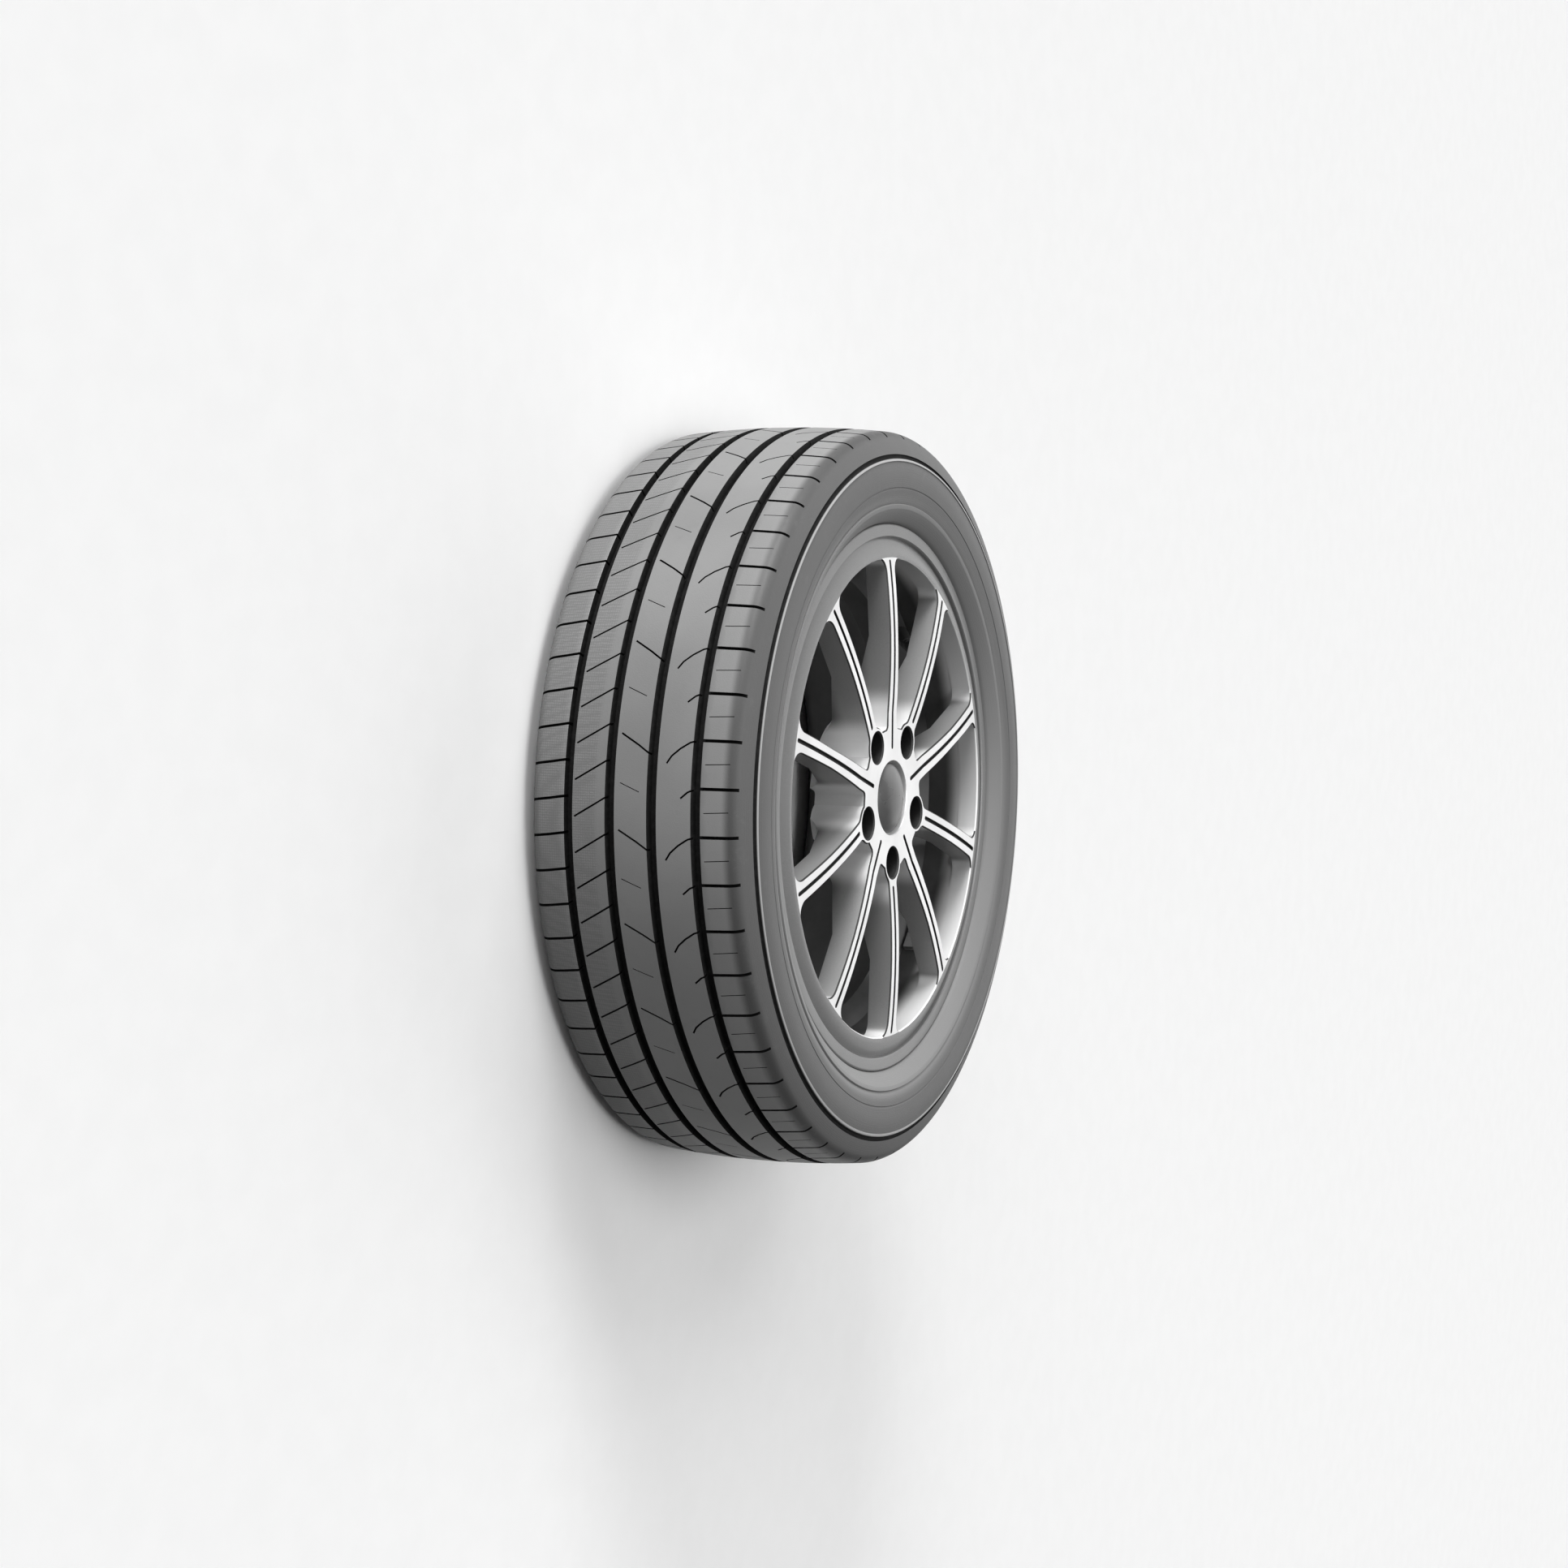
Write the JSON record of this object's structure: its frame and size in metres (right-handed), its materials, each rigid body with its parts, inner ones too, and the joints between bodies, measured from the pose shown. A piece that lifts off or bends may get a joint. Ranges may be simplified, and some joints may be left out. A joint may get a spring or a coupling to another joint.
{
  "type": "car wheel with tyre",
  "caption": "Road tyre with a grooved and siped tread, mounted on a cast alloy car wheel with slim channelled spokes, centre cap and snap-in valve.",
  "frame": {"origin": "on the wheel axis, midway across the tyre's section width", "axes": "+Z along the wheel axis, out of the styled face; the bolt hole nearest -Y lies on -Y"},
  "size_m": [0.6366, 0.6366, 0.199],
  "materials": {
    "machined_alloy": "turned and clear-coated face, silver paint elsewhere",
    "tread_rubber": "matt",
    "cap_plastic": "gloss",
    "spring_steel": "bright",
    "valve_rubber": "matt",
    "valve_brass": "satin",
    "valve_cap_plastic": "matt",
    "weight_metal": "satin",
    "tape_foam": "matt"
  },
  "bodies": {
    "root": {"wheel": "machined_alloy", "tyre": "tread_rubber", "centre_cap": "cap_plastic", "cap_spring_ring": "spring_steel", "valve_stem": "valve_rubber", "valve_insert": "valve_brass", "valve_core": "valve_brass", "valve_core_pin": "valve_brass", "valve_core_spring": "spring_steel", "valve_cap": "valve_cap_plastic", "balance_weights": "weight_metal", "weight_tape": "tape_foam"}
  },
  "joints": []
}
